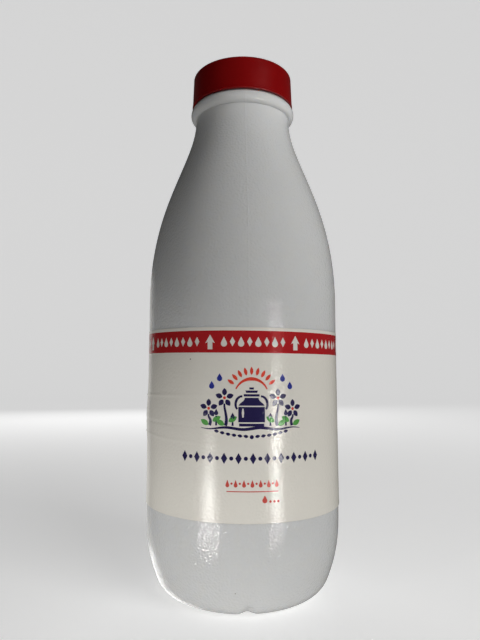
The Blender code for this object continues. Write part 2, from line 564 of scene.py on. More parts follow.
def finish_piece(piece: bpy.types.Object, sharp: float = 35.0) -> bpy.types.Object:
    """Shade a finished piece, put it on the body and report it.

    Args:
        piece: the piece, with its place in its mesh.
        sharp: edges that turn by more than this many degrees stay sharp.

    Returns:
        The same piece.
    """
    face_outwards(piece.data)
    piece.data.shade_smooth()
    piece.data.set_sharp_from_angle(angle=math.radians(sharp))
    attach(piece, BODY)
    piece.data.calc_loop_triangles()
    LOG.info("%s: %d triangles", piece.name, len(piece.data.loop_triangles))
    return piece


class ShaderGroups:
    """Surface effects that several finishes share, each one a node group."""

    def __init__(self) -> None:
        """Write the groups."""
        self.grain = self.write("moulded_grain", {"Coarse": 700.0, "Fine": 1900.0, "Balance": 0.5},
                                "Height", self.write_grain)
        self.tone = self.write("uneven_tone", {"Scale": 30.0, "Contrast": 0.5},
                               "Mask", self.write_tone)
        self.scuffs = self.write("fine_scuffs", {"Length": 60.0, "Amount": 0.5},
                                 "Mask", self.write_scuffs)
        self.speck = self.write("dark_speck", {"X": 0.0, "Y": 0.0, "Z": 0.0, "Size": 0.4 * MM},
                                "Mask", self.write_speck)

    @staticmethod
    def write(name: str, inputs: dict[str, float], output: str,
              fill: Callable[[Graph, dict], Socket]) -> bpy.types.NodeTree:
        """Make one group.

        Args:
            name: the group's name.
            inputs: its inputs and their usual values.
            output: the name of its output.
            fill: adds the nodes, given the graph and the inputs, and returns what feeds the output.

        Returns:
            The group.
        """
        tree = bpy.data.node_groups.new(name, "ShaderNodeTree")
        for label, value in inputs.items():
            socket = tree.interface.new_socket(label, in_out="INPUT", socket_type="NodeSocketFloat")
            socket.default_value = value
        tree.interface.new_socket(output, in_out="OUTPUT", socket_type="NodeSocketFloat")
        graph = Graph(tree)
        entry = graph.add("NodeGroupInput")
        result = fill(graph, {socket.name: socket for socket in entry.outputs if socket.name})
        graph.add("NodeGroupOutput", {output: result})
        return tree

    @staticmethod
    def place(graph: Graph) -> Socket:
        """Return the point's place on the object."""
        return graph.add("ShaderNodeTexCoord").outputs["Object"]

    @classmethod
    def write_grain(cls, graph: Graph, given: dict) -> Socket:
        """Write two sizes of pebbled grain.

        Args:
            graph: the group's tree to write into.
            given: the group's inputs.

        Returns:
            The height, about 0 to 1.
        """
        place = cls.place(graph)
        coarse = graph.noise(place, given["Coarse"], 0.0)
        fine = graph.noise(place, given["Fine"], 0.0)
        fine_share = graph.math("SUBTRACT", 1.0, given["Balance"])
        return graph.math("ADD", graph.product(coarse, given["Balance"]),
                          graph.product(fine, fine_share))

    @classmethod
    def write_tone(cls, graph: Graph, given: dict) -> Socket:
        """Write clouds with fine flecks in them.

        Args:
            graph: the group's tree to write into.
            given: the group's inputs.

        Returns:
            The mask, 0 to 1.
        """
        fleck_scale, fleck_share = 1400.0, 0.3
        place = cls.place(graph)
        clouds = graph.noise(place, given["Scale"], 3.0)
        flecks = graph.noise(place, fleck_scale, 1.0)
        cloud = graph.math("ADD", graph.product(clouds, 1.0 - fleck_share),
                           graph.product(flecks, fleck_share))
        low = graph.math("SUBTRACT", 0.5, graph.product(given["Contrast"], 0.5))
        high = graph.math("ADD", 0.5, graph.product(given["Contrast"], 0.5))
        return graph.ramp(cloud, low, high)

    @classmethod
    def write_scuffs(cls, graph: Graph, given: dict) -> Socket:
        """Write sparse thin scuffs that run mostly round the axis.

        Args:
            graph: the group's tree to write into.
            given: the group's inputs.

        Returns:
            The mask, from 0 to the group's Amount.
        """
        squeeze, line_width = 2.5, 0.008
        patch_start, patch_full = 0.56, 0.74
        place = cls.place(graph)
        x, y, z = graph.axes(place)
        azimuth = graph.math("ARCTAN2", x, graph.product(y, -1.0))
        flat = graph.join_axes(azimuth, graph.product(z, given["Length"], squeeze), 0.0)
        streak = graph.math("ABSOLUTE", graph.math("SUBTRACT", graph.noise(flat, 2.0), 0.5))
        thin = graph.math("SUBTRACT", 1.0, graph.ramp(streak, 0.0, line_width))
        patch = graph.ramp(graph.noise(place, given["Length"]), patch_start, patch_full)
        return graph.product(thin, patch, given["Amount"])

    @classmethod
    def write_speck(cls, graph: Graph, given: dict) -> Socket:
        """Write one tiny round mark.

        Args:
            graph: the group's tree to write into.
            given: the group's inputs.

        Returns:
            The mask, 1 in the middle of the mark.
        """
        core_share = 0.4
        middle = graph.join_axes(given["X"], given["Y"], given["Z"])
        node = graph.add("ShaderNodeVectorMath", {0: cls.place(graph), 1: middle},
                         operation="DISTANCE")
        core = graph.product(given["Size"], core_share)
        return graph.ramp(node.outputs["Value"], given["Size"], core)


class Paint:
    """A material under construction: one Principled shader fed by groups."""

    def __init__(self, name: str, constants: dict[str, Value]) -> None:
        """Start the material.

        Args:
            name: the material's name.
            constants: values that are the same all over, set on the shader's own sockets.
        """
        self.material = bpy.data.materials.new(name)
        self.material.use_nodes = True
        self.graph = Graph(self.material.node_tree)
        self.shader = self.material.node_tree.nodes["Principled BSDF"]
        for socket, value in constants.items():
            self.shader.inputs[socket].default_value = value

    def group(self, tree: bpy.types.NodeTree, **inputs: Value) -> Socket:
        """Place a shared group.

        Args:
            tree: the group.
            **inputs: its own value for each input.

        Returns:
            What it puts out.
        """
        node = self.graph.add("ShaderNodeGroup", node_tree=tree)
        for label, value in inputs.items():
            self.graph.feed(node.inputs[label], value)
        return node.outputs[0]

    def mix(self, mask: Value, first: Value, second: Value) -> Socket:
        """Mix two colours.

        Args:
            mask: 0 for the first colour, 1 for the second.
            first: a colour.
            second: another colour.

        Returns:
            The mixed colour.
        """
        node = self.graph.add("ShaderNodeMix", data_type="RGBA")
        colours = [socket for socket in node.inputs if socket.type == "RGBA"]
        self.graph.feed(node.inputs[0], mask)
        for socket, value in zip(colours, (first, second)):
            self.graph.feed(socket, (*value, 1.0) if isinstance(value, tuple) else value)
        return next(socket for socket in node.outputs if socket.type == "RGBA")

    def between(self, mask: Value, low: float, high: float) -> Socket:
        """Return a number that goes from low to high with the mask."""
        return self.graph.math("MULTIPLY_ADD", mask, high - low, low)

    def colour(self, value: Value) -> None:
        """Feed the base colour."""
        self.graph.feed(self.shader.inputs["Base Color"], value)

    def roughness(self, value: Value) -> None:
        """Feed the roughness."""
        self.graph.feed(self.shader.inputs["Roughness"], value)

    def speck(self, groups: ShaderGroups, base: Value, place: Point3, size: float,
              dark: Colour) -> Socket:
        """Put one tiny round mark on a colour.

        Args:
            groups: the shared effects.
            base: the colour round the mark.
            place: the mark's middle.
            size: its radius.
            dark: its colour.

        Returns:
            The marked colour.
        """
        x, y, z = place
        mark = self.group(groups.speck, X=x, Y=y, Z=z, Size=size)
        return self.mix(mark, base, dark)

    def bump(self, height: Value, depth: float, below: Socket | None = None) -> Socket:
        """Feed the normal from a height.

        Args:
            height: the height, about 0 to 1.
            depth: the relief that a height of 1 stands for, in metres.
            below: the normal of a bump that lies under this one.

        Returns:
            The bumped normal.
        """
        node = self.graph.add("ShaderNodeBump", {"Height": height, "Distance": depth})
        if below is not None:
            self.graph.feed(node.inputs["Normal"], below)
        self.graph.feed(self.shader.inputs["Normal"], node.outputs[0])
        return node.outputs[0]


@dataclass(frozen=True)
class Skin:
    """The gloss, scuffs and grain of a finish.

    The roughness goes from smooth to rough with the uneven tone. The grain's coarse and fine
    scales are in grains per metre, its balance is the coarse grain's share, and the depths are in
    metres.
    """

    smooth: float
    rough: float
    scuff_length: float
    scuff_amount: float
    scuff_roughness: float
    scuff_depth: float
    coarse: float
    fine: float
    balance: float
    depth: float

    def lay(self, paint: Paint, groups: ShaderGroups, cloud: Socket,
            cover: Socket | None = None) -> None:
        """Feed a material's roughness and normal.

        Args:
            paint: the material.
            groups: the shared effects.
            cloud: its uneven tone.
            cover: where the grain is, if it isn't everywhere.
        """
        scuff = paint.group(groups.scuffs, Length=self.scuff_length, Amount=self.scuff_amount)
        paint.roughness(paint.graph.math("ADD", paint.between(cloud, self.smooth, self.rough),
                                         paint.graph.product(scuff, self.scuff_roughness)))
        grain = paint.group(groups.grain, Coarse=self.coarse, Fine=self.fine, Balance=self.balance)
        if cover is not None:
            grain = paint.graph.product(grain, cover)
        first = paint.bump(grain, self.depth)
        paint.bump(scuff, self.scuff_depth, below=first)


@dataclass(frozen=True)
class MilkyPlastic:
    """Blown white plastic, a little translucent, with an orange-peel skin below its collar."""

    light: Colour = (0.68, 0.68, 0.67)
    shade: Colour = (0.655, 0.657, 0.65)
    speck: Colour = (0.34, 0.32, 0.29)
    speck_place: Point3 = (-2.9 * MM, -39.9 * MM, 11.5 * MM)
    speck_size: float = 0.35 * MM
    smooth_from: float = 214 * MM
    grain_fade: float = 8 * MM
    skin: Skin = Skin(smooth=0.14, rough=0.18, scuff_length=60.0, scuff_amount=0.35,
                      scuff_roughness=0.15, scuff_depth=0.02 * MM, coarse=460.0, fine=1150.0,
                      balance=0.07, depth=0.20 * MM)

    def make(self, groups: ShaderGroups) -> bpy.types.Material:
        """Make the material.

        Args:
            groups: the shared effects.

        Returns:
            The material.
        """
        paint = Paint("milky_plastic", {
            "Subsurface Weight": 1.0, "Subsurface Radius": (1.0, 0.95, 0.85),
            "Subsurface Scale": 1.8 * MM, "IOR": 1.52})
        cloud = paint.group(groups.tone, Scale=28.0, Contrast=0.5)
        base = paint.mix(cloud, self.light, self.shade)
        paint.colour(paint.speck(groups, base, self.speck_place, self.speck_size, self.speck))
        height = paint.graph.axes(groups.place(paint.graph))[2]
        below_collar = paint.graph.ramp(height, self.smooth_from, self.smooth_from - self.grain_fade)
        self.skin.lay(paint, groups, cloud, below_collar)
        return paint.material


@dataclass(frozen=True)
class RedPlastic:
    """Smooth moulded deep red plastic."""

    deep: Colour = (0.20, 0.0030, 0.0035)
    bright: Colour = (0.24, 0.0042, 0.0045)
    skin: Skin = Skin(smooth=0.30, rough=0.38, scuff_length=90.0, scuff_amount=0.8,
                      scuff_roughness=0.2, scuff_depth=0.015 * MM, coarse=500.0, fine=2400.0,
                      balance=0.7, depth=0.03 * MM)

    def make(self, groups: ShaderGroups) -> bpy.types.Material:
        """Make the material.

        Args:
            groups: the shared effects.

        Returns:
            The material.
        """
        paint = Paint("red_plastic", {"IOR": 1.50, "Subsurface Weight": 0.05,
                                      "Subsurface Radius": (1.0, 0.2, 0.1),
                                      "Subsurface Scale": 1.0 * MM})
        cloud = paint.group(groups.tone, Scale=45.0, Contrast=0.6)
        paint.colour(paint.mix(cloud, self.deep, self.bright))
        self.skin.lay(paint, groups, cloud)
        return paint.material


@dataclass(frozen=True)
class FilmFinish:
    """Glossy film of the sleeve, bare or under a flat field of ink."""

    name: str
    colour: Colour
    tint: Colour
    speck: Colour = (0.12, 0.10, 0.08)
    speck_place: Point3 | None = None
    speck_size: float = 0.4 * MM
    skin: Skin = Skin(smooth=0.18, rough=0.24, scuff_length=70.0, scuff_amount=0.6,
                      scuff_roughness=0.15, scuff_depth=0.015 * MM, coarse=420.0, fine=1050.0,
                      balance=0.12, depth=0.10 * MM)

    def make(self, groups: ShaderGroups) -> bpy.types.Material:
        """Make the material.

        Args:
            groups: the shared effects.

        Returns:
            The material.
        """
        paint = Paint(self.name, {"IOR": 1.50})
        cloud = paint.group(groups.tone, Scale=35.0, Contrast=0.6)
        base = paint.mix(cloud, self.colour, self.tint)
        if self.speck_place:
            base = paint.speck(groups, base, self.speck_place, self.speck_size, self.speck)
        paint.colour(base)
        self.skin.lay(paint, groups, cloud)
        return paint.material


@dataclass
class BottleShell:
    """The blown bottle: foot, heel, panel, shoulder, neck, collar and finish."""

    push_up: float = 5.5 * MM
    ring_inner: float = 25.0 * MM
    ring_outer: float = 28.5 * MM
    heel_radius: float = 10.4 * MM
    flank_radius: float = 64.0 * MM
    flank_angle: float = 22.8
    low_radius: float = 43.2 * MM
    high_radius: float = 42.97 * MM
    panel_low: float = 42.8 * MM
    panel_high: float = 42.4 * MM
    panel_bottom: float = 40.0 * MM
    panel_top: float = 111.8 * MM
    step: float = 0.5 * MM
    draft: float = 0.02 * MM
    shoulder_bottom: float = 127.1 * MM
    shoulder_pull: float = 46.5 * MM
    neck_radius: float = 22.15 * MM
    neck_pull: float = 21.8 * MM
    collar_core: float = 22.0 * MM
    collar_radius: float = 24.56 * MM
    collar_middle: float = 217.6 * MM
    collar_drop: float = 2.7 * MM
    collar_rise: float = 3.0 * MM
    finish_length: float = 4.0 * MM
    finish_bevel: float = 0.8 * MM
    columns: int = 264
    crowding: float = 0.84
    parting_turn: float = math.radians(3)

    def foot(self) -> Outline:
        """Lay out the foot.

        Returns:
            Its profile from the axis to the top of the flank.
        """
        steps = 16
        points = []
        for step in range(steps + 1):
            share = step / steps
            height = self.push_up * (1 + math.cos(math.pi * share)) / 2
            points.append((self.ring_inner * share, height))
        ring = line((self.ring_inner, 0.0), (self.ring_outer, 0.0), 3)
        heel = arc((self.ring_outer, self.heel_radius), (self.heel_radius, self.heel_radius),
                   -90, -self.flank_angle, 22)
        radius, height = heel[-1]
        lean = math.radians(self.flank_angle)
        centre = (radius - self.flank_radius * math.cos(lean),
                  height + self.flank_radius * math.sin(lean))
        flank = arc(centre, (self.flank_radius, self.flank_radius), -self.flank_angle, 0, 16)
        return points + ring[1:-1] + heel + flank[1:]

    def body(self) -> Outline:
        """Lay out the body with the panel that the sleeve lies in.

        Returns:
            Its profile from the bottom up.
        """
        step = self.step
        below, above = self.panel_bottom - step, self.panel_top + step
        under = line((self.low_radius - self.draft, below - 4 * step),
                     (self.low_radius, below - 0.6 * step), 3)
        step_in = eased((self.low_radius, below), (self.panel_low, self.panel_bottom), 6)
        panel = line((self.panel_low, self.panel_bottom + step),
                     (self.panel_high, self.panel_top - step), 12)
        step_out = eased((self.panel_high, self.panel_top), (self.high_radius, above), 6)
        return under + step_in + panel + step_out

    def collar(self) -> Outline:
        """Lay out the collar.

        Returns:
            Its profile from the crease under it, over its rim, to the finish.
        """
        width = self.collar_radius - self.collar_core
        crease = -math.degrees(math.acos((self.neck_radius - self.collar_core) / width))
        centre = (self.collar_core, self.collar_middle)
        under = arc(centre, (width, self.collar_drop), crease, 0, 14)
        return under + arc(centre, (width, self.collar_rise), 0, 90, 12)[1:]

    def profile(self) -> Outline:
        """Lay out the whole bottle.

        Returns:
            Its profile from the middle of the foot to the middle of the mouth.
        """
        collar = self.collar()
        crease_radius, crease_height = collar[0]
        shoulder = bezier(((self.high_radius, self.shoulder_bottom),
                           (self.high_radius, self.shoulder_bottom + self.shoulder_pull),
                           (crease_radius, crease_height - self.neck_pull),
                           (crease_radius, crease_height)), 64)
        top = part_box("bottle")[1].z
        finish = line((self.collar_core, top - self.finish_length),
                      (self.collar_core, top - self.finish_bevel), 2)
        mouth = [(self.collar_core - self.finish_bevel, top), (0.0, top)]
        return self.foot() + self.body() + shoulder + collar[1:] + finish + mouth

    def build(self, shop: Workshop, finish: bpy.types.Material) -> bpy.types.Object:
        """Turn the bottle and give it its mould marks.

        Args:
            shop: the shape trees.
            finish: the bottle's material.

        Returns:
            The finished piece.
        """
        piece = profile_piece("bottle_shell", self.profile(), closed=False)
        shop.turned_shell.apply(piece, Columns=self.columns, Crowding=self.crowding,
                                Turn=self.parting_turn, Material=finish)
        face_outwards(piece.data)
        shop.mould_marks.apply(piece, Turn=self.parting_turn, Ridge_Width=0.24 * MM,
                               Ridge_Height=0.07 * MM, Groove_Width=2.3 * MM,
                               Groove_Depth=1.1 * MM, Groove_Top=8 * MM,
                               Ring_Radius=self.ring_inner, Wave_Scale=38.0,
                               Wave_Height=0.16 * MM, Material=finish)
        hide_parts("bottle")
        return finish_piece(piece)


@dataclass
class ScrewCap:
    """The red cap: drafted skirt, small lip at its rim, rounded top edge and sunk top."""

    low_radius: float = 23.85 * MM
    high_radius: float = 23.35 * MM
    lip: float = 0.15 * MM
    lip_height: float = 1.0 * MM
    rim_radius: float = 0.3 * MM
    edge_radius: float = 1.0 * MM
    draft: float = 0.02 * MM
    plate: float = 1.5 * MM
    inner_low: float = 22.75 * MM
    inner_high: float = 22.3 * MM
    panel_radius: float = 18.5 * MM
    panel_depth: float = 0.4 * MM
    fillet: float = 0.5 * MM
    columns: int = 256

    def top_panel(self, top: float) -> Outline:
        """Lay out the sunk panel and the edge of the flat ring round it.

        Args:
            top: the height of the cap's top.

        Returns:
            Its profile from the middle outwards.
        """
        sunk = top - self.panel_depth
        flat = [(0.0, sunk), (self.panel_radius * 0.5, sunk)]
        return flat + bezier(((self.panel_radius - 2 * self.fillet, sunk),
                              (self.panel_radius - 0.6 * self.fillet, sunk),
                              (self.panel_radius - self.fillet, top),
                              (self.panel_radius + self.fillet, top)), 8)

    def rim(self, bottom: float) -> Outline:
        """Lay out the small lip and the rounded rim below it.

        Args:
            bottom: the height of the cap's bottom.

        Returns:
            Its profile from the skirt down.
        """
        lip_radius = self.low_radius + self.lip
        lip_top = bottom + self.lip_height + self.lip
        swell = bezier(((self.low_radius, lip_top + 0.5 * self.lip), (self.low_radius, lip_top),
                        (lip_radius, lip_top), (lip_radius, lip_top - 2 * self.lip)), 5)
        return swell + arc((lip_radius - self.rim_radius, bottom + self.rim_radius),
                           (self.rim_radius, self.rim_radius), 0, -90, 6)

    def profile(self) -> Outline:
        """Lay out the shell.

        Returns:
            Its section from the middle of its top, round the rim, to the underside of its plate.
        """
        low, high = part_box("cap")
        bottom, top = low.z, high.z
        skirt_top = top - self.edge_radius
        edge = arc((self.high_radius - self.edge_radius, skirt_top),
                   (self.edge_radius, self.edge_radius), 90, 0, 10)
        skirt = line((self.high_radius + self.draft, skirt_top - 0.8 * self.edge_radius),
                     (self.low_radius, bottom + self.lip_height + 2 * self.lip), 10)
        inside = [(self.inner_low, bottom), (self.inner_high, top - self.plate),
                  (0.0, top - self.plate)]
        return self.top_panel(top) + edge + skirt + self.rim(bottom) + inside

    def build(self, shop: Workshop, finish: bpy.types.Material) -> bpy.types.Object:
        """Turn the cap.

        Args:
            shop: the shape trees.
            finish: the cap's material.

        Returns:
            The finished piece.
        """
        piece = profile_piece("screw_cap", self.profile(), closed=False)
        shop.turned_shell.apply(piece, Columns=self.columns, Crowding=0.0, Turn=0.0,
                                Material=finish)
        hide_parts("cap")
        return finish_piece(piece)


@dataclass
class Sleeve:
    """The printed film round the body, a thin tube with a lap at the back."""

    bottom: float = 38.3 * MM
    top: float = 113.4 * MM
    low_radius: float = 43.4 * MM
    high_radius: float = 43.0 * MM
    thickness: float = 0.35 * MM
    edge_round: float = 0.1 * MM
    skew: float = 0.4 * MM
    columns: int = 340
    rows: int = 190
    inner_rows: int = 24

    @property
    def print_radius(self) -> float:
        """Return the radius that the artwork's length is measured on."""
        return (self.low_radius + self.high_radius) / 2

    def profile(self) -> Outline:
        """Lay out the film.

        Returns:
            Its section as a closed loop.
        """
        edge = self.edge_round
        outer = line((self.low_radius, self.bottom + edge), (self.high_radius, self.top - edge),
                     self.rows)
        over = [(self.high_radius - edge, self.top), (self.high_radius - self.thickness, self.top)]
        inner = line((self.high_radius - self.thickness, self.top - edge),
                     (self.low_radius - self.thickness, self.bottom + edge), self.inner_rows)
        under = [(self.low_radius - self.thickness, self.bottom), (self.low_radius - edge, self.bottom)]
        return outer + over + inner + under

    def build(self, shop: Workshop, finish: bpy.types.Material) -> bpy.types.Object:
        """Turn the sleeve and give it its relief.

        Args:
            shop: the shape trees.
            finish: the bare film's material.

        Returns:
            The finished piece.
        """
        piece = profile_piece("printed_sleeve", self.profile(), closed=True)
        shop.turned_shell.apply(piece, Columns=self.columns, Crowding=0.0, Turn=0.0,
                                Material=finish)
        shop.sleeve_relief.apply(
            piece, Skew=self.skew, Slack_Azimuth=math.radians(-84), Slack_Width=math.radians(30),
            Slack_Height=76 * MM, Slack_Reach=9 * MM, Slack_Depth=0.55 * MM,
            Crease_Width=0.6 * MM, Crease_Depth=0.24 * MM, Crease_Fan=1.5 * MM,
            Wave_Scale=42.0, Wave_Height=0.12 * MM, Low_Edge=self.bottom, High_Edge=self.top,
            Edge_Width=1.3 * MM, Edge_Lift=0.1 * MM, Lap_Start=math.radians(-178),
            Lap_End=math.radians(-170.2), Lap_Height=0.1 * MM, Material=finish)
        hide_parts("label")
        return finish_piece(piece)


class Artwork:
    """Flat shapes of one ink, in metres along and up the unrolled sleeve."""

    def __init__(self) -> None:
        """Start with no shapes."""
        self.shapes = []

    def add(self, outline: Outline, centre: Point = (0.0, 0.0), scale: Point = (MM, MM),
            turn: float = 0.0) -> None:
        """Add a filled outline.

        Args:
            outline: its points in millimetres, in order.
            centre: where its origin goes, in millimetres.
            scale: what a millimetre of it becomes; a negative number mirrors it.
            turn: its turn in degrees.
        """
        angle = math.radians(turn)
        points = []
        for x, y in outline:
            along = x * scale[0] * math.cos(angle) - y * scale[1] * math.sin(angle)
            up = x * scale[0] * math.sin(angle) + y * scale[1] * math.cos(angle)
            points.append((centre[0] * MM + along, centre[1] * MM + up))
        self.shapes.append(points)

    def stroke(self, path: Outline, widths: Sequence[float]) -> None:
        """Add a line whose width changes evenly from one given width to the next.

        Args:
            path: its points in millimetres.
            widths: widths in millimetres, spread evenly from its start to its end.
        """
        left, right = [], []
        last = len(path) - 1
        for index, (x, y) in enumerate(path):
            before, after = path[max(index - 1, 0)], path[min(index + 1, last)]
            way = Vector((after[0] - before[0], after[1] - before[1])).normalized()
            spot = index / last * (len(widths) - 1)
            first = min(int(spot), len(widths) - 2)
            half = (widths[first] + (widths[first + 1] - widths[first]) * (spot - first)) / 2
            left.append((x - way.y * half, y + way.x * half))
            right.append((x + way.y * half, y - way.x * half))
        self.add(left + right[::-1])

    def piece(self, name: str, cell: float = 1.2 * MM) -> bpy.types.Object:
        """Make the shapes one flat object, cut small enough to bend round the sleeve.

        Args:
            name: the object's name.
            cell: the size of the cuts.

        Returns:
            The object.
        """
        shape = bmesh.new()
        for outline in self.shapes:
            face = shape.faces.new([shape.verts.new((x, y, 0.0)) for x, y in outline])
            face.normal_update()
            if face.normal.z < 0:
                face.normal_flip()
        bmesh.ops.triangulate(shape, faces=shape.faces[:], ngon_method="EAR_CLIP")
        for axis in (0, 1):
            spread = [vert.co[axis] for vert in shape.verts]
            normal = Vector((1.0 - axis, axis, 0.0))
            for number in range(math.ceil(min(spread) / cell), math.floor(max(spread) / cell) + 1):
                bmesh.ops.bisect_plane(shape, geom=shape.verts[:] + shape.edges[:] + shape.faces[:],
                                       plane_co=normal * number * cell, plane_no=normal,
                                       dist=CUT_TOLERANCE)
        bmesh.ops.triangulate(shape, faces=shape.faces[:])
        mesh = bpy.data.meshes.new(name)
        shape.to_mesh(mesh)
        shape.free()
        return new_piece(name, mesh)


def petal(length: float, width: float, steps: int = 7) -> Outline:
    """Draw a pointed leaf from the origin along +X.

    Args:
        length: from its stalk to its tip.
        width: about its width across the middle.
        steps: the points of each side.

    Returns:
        Its outline.
    """
    side = bezier(((0, 0), (length * 0.3, width * 0.75), (length * 0.75, width * 0.5), (length, 0)),
                  steps)
    return side + [(x, -y) for x, y in side[-2:0:-1]]


def drop(height: float, width: float, steps: int = 8) -> Outline:
    """Draw a drop that stands on its round end, centred on the origin.

    Args:
        height: from its foot to its tip.
        width: across its round end.
        steps: the points of its round end.

    Returns:
        Its outline.
    """
    low = -height / 2 + width / 2
    return arc((0, low), (width / 2, width / 2), 160, 380, steps) + [(0, height / 2)]


def diamond(height: float, width: float) -> Outline:
    """Return an upright diamond centred on the origin."""
    return [(-width / 2, 0), (0, -height / 2), (width / 2, 0), (0, height / 2)]


def box_shape(left: float, bottom: float, right: float, top: float) -> Outline:
    """Return a rectangle."""
    return [(left, bottom), (right, bottom), (right, top), (left, top)]


def disc(radius: float, steps: int = 14) -> Outline:
    """Return a round dot centred on the origin."""
    return arc((0, 0), (radius, radius), 0, 360, steps)[:-1]


def alternating(first: Outline, second: Outline, count: int, pitch: float) -> Artwork:
    """Draw a row of two shapes in turn, centred on the origin.

    Args:
        first: the shape that the row starts with.
        second: the shape that follows it.
        count: the number of shapes.
        pitch: from one to the next, in millimetres.

    Returns:
        The row.
    """
    art = Artwork()
    for number in range(count):
        along = (number - (count - 1) / 2) * pitch
        art.add(first if number % 2 == 0 else second, (along, 0.0))
    return art


class Ink(Enum):
    """The inks of the print, each with the two colours between which it varies."""

    RED = ((0.45, 0.018, 0.021), (0.41, 0.015, 0.018))
    WHITE = ((0.76, 0.73, 0.67), (0.72, 0.69, 0.64))
    NAVY = ((0.020, 0.016, 0.070), (0.026, 0.020, 0.080))
    GREEN = ((0.10, 0.36, 0.075), (0.09, 0.32, 0.065))
    ORANGE = ((0.72, 0.07, 0.04), (0.68, 0.06, 0.035))
    BLUE = ((0.02, 0.03, 0.25), (0.025, 0.035, 0.27))
    CORAL = ((0.60, 0.09, 0.07), (0.56, 0.08, 0.06))

    def finish(self) -> FilmFinish:
        """Return the finish of the film under this ink."""
        return FilmFinish(f"{self.name.lower()}_ink", *self.value)


@dataclass(frozen=True)
class Row:
    """A row of copies along the sleeve, in millimetres."""

    count: int
    pitch: float
    first: float
    height: float


@dataclass
class Press:
    """Prints artwork on the sleeve.

    It holds the shape trees, the sleeve's sizes, its finished piece and the inks' materials.
    """

    shop: Workshop
    sleeve: Sleeve
    film: bpy.types.Object
    inks: dict[Ink, bpy.types.Material]
    layer_lift: float = 0.012 * MM
    ink_thickness: float = 0.015 * MM

    @property
    def girth(self) -> float:
        """Return the length once round the sleeve in millimetres."""
        return math.tau * self.sleeve.print_radius / MM

    def run(self, name: str, art: Artwork, ink: Ink, layer: int = 1,
            row: Row | None = None) -> None:
        """Print artwork as one piece.

        Args:
            name: the piece's name.
            art: its flat shapes.
            ink: what it is printed with.
            layer: 1 on the bare film, 2 on another ink.
            row: where its copies go, if it is repeated.
        """
        piece, material = art.piece(name), self.inks[ink]
        if row:
            self.shop.row_of_marks.apply(piece, Count=row.count, Pitch=row.pitch * MM,
                                         First=row.first * MM, Height=row.height * MM,
                                         Material=material)
        self.shop.print_on_sleeve.apply(piece, Sleeve=self.film, Radius=self.sleeve.print_radius,
                                        Skew=self.sleeve.skew, Lift=self.layer_lift * layer,
                                        Ink=self.ink_thickness, Material=material)
        finish_piece(piece, sharp=60.0)


@dataclass(frozen=True)
class Band:
    """The red band with its white arrows and marks, in millimetres."""

    bottom: float = 103.3
    top: float = 112.0
    seam: float = -131.2
    pitch: float = 35.2
    first_arrow: float = -118.8
    arrows: int = 8
    arrow_bottom: float = 104.6
    arrow_height: float = 5.8
    arrow_width: float = 4.1
    shaft_width: float = 2.0
    head_height: float = 3.4
    barb: float = 0.5
    marks: int = 8
    mark_pitch: float = 3.4
    seam_gap: float = 0.3

    def ground(self, girth: float) -> Artwork:
        """Draw the red ground.

        Args:
            girth: the length once round the sleeve, in millimetres.

        Returns:
            The artwork.
        """
        art = Artwork()
        art.add(box_shape(self.seam, self.bottom, self.seam + girth - self.seam_gap, self.top))
        return art

    def arrow(self) -> Artwork:
        """Draw one upright arrow that stands on the origin.

        Returns:
            The artwork.
        """
        neck = self.arrow_height - self.head_height + self.barb
        half, shaft = self.arrow_width / 2, self.shaft_width / 2
        art = Artwork()
        art.add([(-shaft, 0), (shaft, 0), (shaft, neck), (half, neck - self.barb),
                 (0, self.arrow_height), (-half, neck - self.barb), (-shaft, neck)])
        return art

    def print(self, press: Press) -> None:
        """Print the band.

        Args:
            press: what prints on the sleeve.
        """
        press.run("red_band", self.ground(press.girth), Ink.RED)
        press.run("band_arrows", self.arrow(), Ink.WHITE, 2,
                  Row(self.arrows, self.pitch, self.first_arrow, self.arrow_bottom))
        marks = alternating(drop(4.0, 2.5), diamond(3.8, 2.1), self.marks, self.mark_pitch)
        press.run("band_marks", marks, Ink.WHITE, 2,
                  Row(self.arrows - 1, self.pitch, self.first_arrow + self.pitch / 2,
                      (self.bottom + self.top) / 2))


